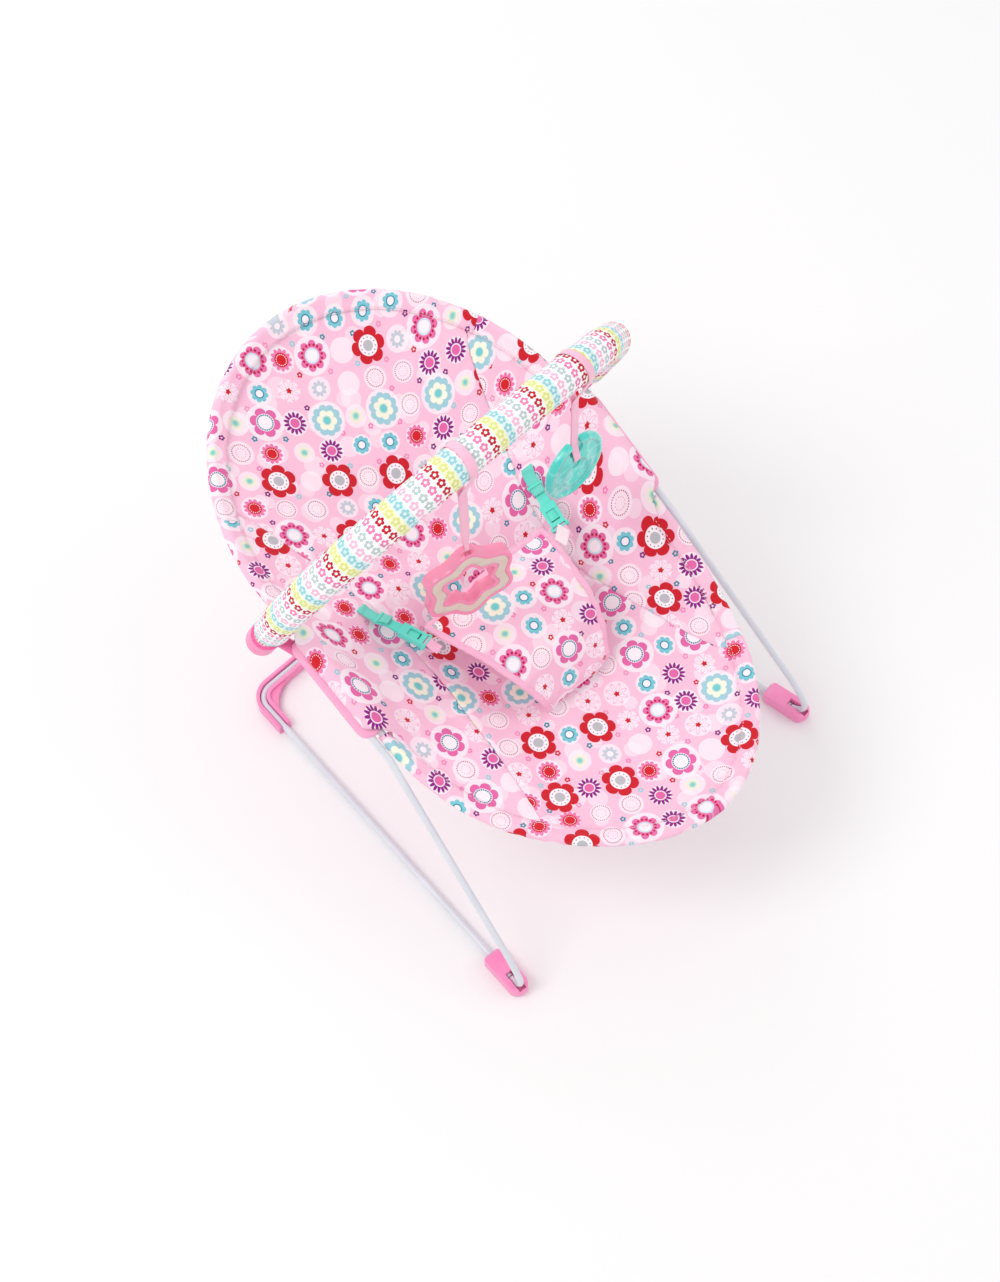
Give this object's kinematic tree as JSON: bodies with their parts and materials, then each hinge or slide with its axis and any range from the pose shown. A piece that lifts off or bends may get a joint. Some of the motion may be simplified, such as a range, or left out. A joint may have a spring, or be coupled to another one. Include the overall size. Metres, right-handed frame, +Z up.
{
  "type": "baby bouncer seat",
  "caption": "Low baby bouncer seat: oval fabric sling on a springy bent-wire frame, with a crotch panel, buckles and a removable padded arch carrying two hanging toys.",
  "frame": {"origin": "on the floor, under the middle of the seat's bounding box", "axes": "+Z up, -Y towards the foot end, X across the seat"},
  "size_m": [0.4542, 0.607, 0.5242],
  "materials": {
    "wire": "white powder coat, semi-gloss",
    "pink_plastic": "moulded pink, glossy",
    "pale_plastic": "moulded pale pink, satin",
    "screw_steel": "zinc-plated",
    "seat_print": "brushed polyester with a floral and dot print",
    "label_tape": "white satin tape, blank",
    "webbing": "woven tape",
    "teal_plastic": "moulded teal, glossy",
    "core_plastic": "extruded tube",
    "sleeve_print": "white cloth with rings of small flowers",
    "rattle_plastic": "moulded pink, glossy",
    "clear_window": "clear plastic with a warm tint",
    "bead_plastic": "small coloured balls",
    "ribbon": "pink satin ribbon",
    "teether_plastic": "soft translucent turquoise plastic"
  },
  "bodies": {
    "base": {"base_wire": "wire", "front_foot_left": "pink_plastic", "front_foot_right": "pink_plastic", "rear_foot_left": "pink_plastic", "rear_foot_right": "pink_plastic"},
    "seat": {"arm_wire_left": "wire", "arm_wire_right": "wire", "upper_frame": "wire", "lower_frame": "wire", "retainer_outer_left": "pink_plastic", "retainer_outer_right": "pink_plastic", "retainer_inner_left": "pale_plastic", "retainer_inner_right": "pale_plastic", "retainer_screws": "screw_steel", "bar_socket_left": "pink_plastic", "bar_socket_right": "pink_plastic", "hem_head": "seat_print", "hem_foot": "seat_print", "seat_panel": "seat_print", "seat_wing_left": "seat_print", "seat_wing_right": "seat_print", "side_flap_left": "seat_print", "side_flap_right": "seat_print", "crotch_panel": "seat_print", "care_label": "label_tape", "buckle_female_left": "teal_plastic", "buckle_female_right": "teal_plastic"},
    "toy_bar": {"bar_tube": "core_plastic", "bar_sleeve": "sleeve_print", "bar_plug_left": "pale_plastic", "bar_plug_right": "pale_plastic"},
    "rattle": {"rattle_case": "rattle_plastic", "rattle_window": "clear_window", "rattle_beads": "bead_plastic", "rattle_ribbon": "ribbon"},
    "teether": {"teether_ring": "teether_plastic", "teether_ribbon": "ribbon"},
    "buckle_left": {"buckle_male_left": "teal_plastic", "waist_strap_left": "webbing"},
    "buckle_right": {"buckle_male_right": "teal_plastic", "waist_strap_right": "webbing"}
  },
  "joints": [
    {"name": "seat_bounce", "type": "hinge", "parent": "base", "child": "seat", "pos_m": [0, -0.2215, 0.023], "axis": [1, 0, 0], "range_deg": [-3.5, 2.5], "stiffness_Nm_per_rad": 260, "springref_deg": 0.95},
    {"name": "bar_lift", "type": "slide", "parent": "seat", "child": "toy_bar", "axis": [0, -0.454, 0.891], "range_m": [0, 0.03]},
    {"name": "rattle_swing", "type": "hinge", "parent": "toy_bar", "child": "rattle", "pos_m": [-0.05, -0.01486, 0.50482], "axis": [0.9938, -0.0503, 0.0987], "range_deg": [-35, 35]},
    {"name": "teether_swing", "type": "hinge", "parent": "toy_bar", "child": "teether", "pos_m": [0.097, -0.01022, 0.49571], "axis": [0.945, 0.1485, -0.2914], "range_deg": [-35, 35]},
    {"name": "buckle_left_release", "type": "slide", "parent": "seat", "child": "buckle_left", "axis": [-0.2895, 0.947, 0.1392], "range_m": [0, 0.008]},
    {"name": "buckle_right_release", "type": "slide", "parent": "seat", "child": "buckle_right", "axis": [0.2895, 0.947, 0.1392], "range_m": [0, 0.008]}
  ]
}
